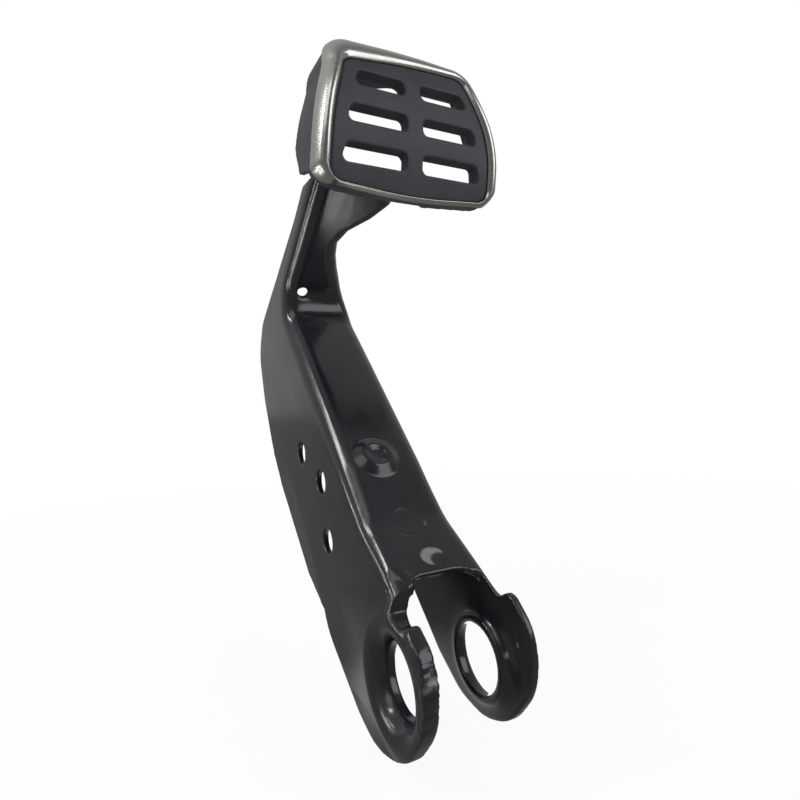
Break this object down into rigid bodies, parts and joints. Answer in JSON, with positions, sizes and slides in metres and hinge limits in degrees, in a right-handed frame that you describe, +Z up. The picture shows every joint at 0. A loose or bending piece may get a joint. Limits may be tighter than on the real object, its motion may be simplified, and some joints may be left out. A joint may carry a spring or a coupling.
{
  "type": "brake pedal",
  "caption": "Cranked pressed-steel channel pedal lever with bored ears at the pivot end and a slotted rubber pad in a bright metal frame.",
  "frame": {"origin": "centre of the pivot bore, midway between the two ears", "axes": "+X along the pivot bore towards the ear on the pad's far side, +Y away from the foot, +Z up towards the pad, as the pedal stands in the picture"},
  "size_m": [0.0982, 0.2076, 0.3001],
  "materials": {
    "black_paint": "gloss",
    "plate_paint": "gloss",
    "pad_rubber": "matte",
    "trim_metal": "satin"
  },
  "bodies": {
    "root": {"lever": "black_paint", "pedal_plate": "plate_paint", "rubber_pad": "pad_rubber", "pad_trim": "trim_metal"}
  },
  "joints": []
}
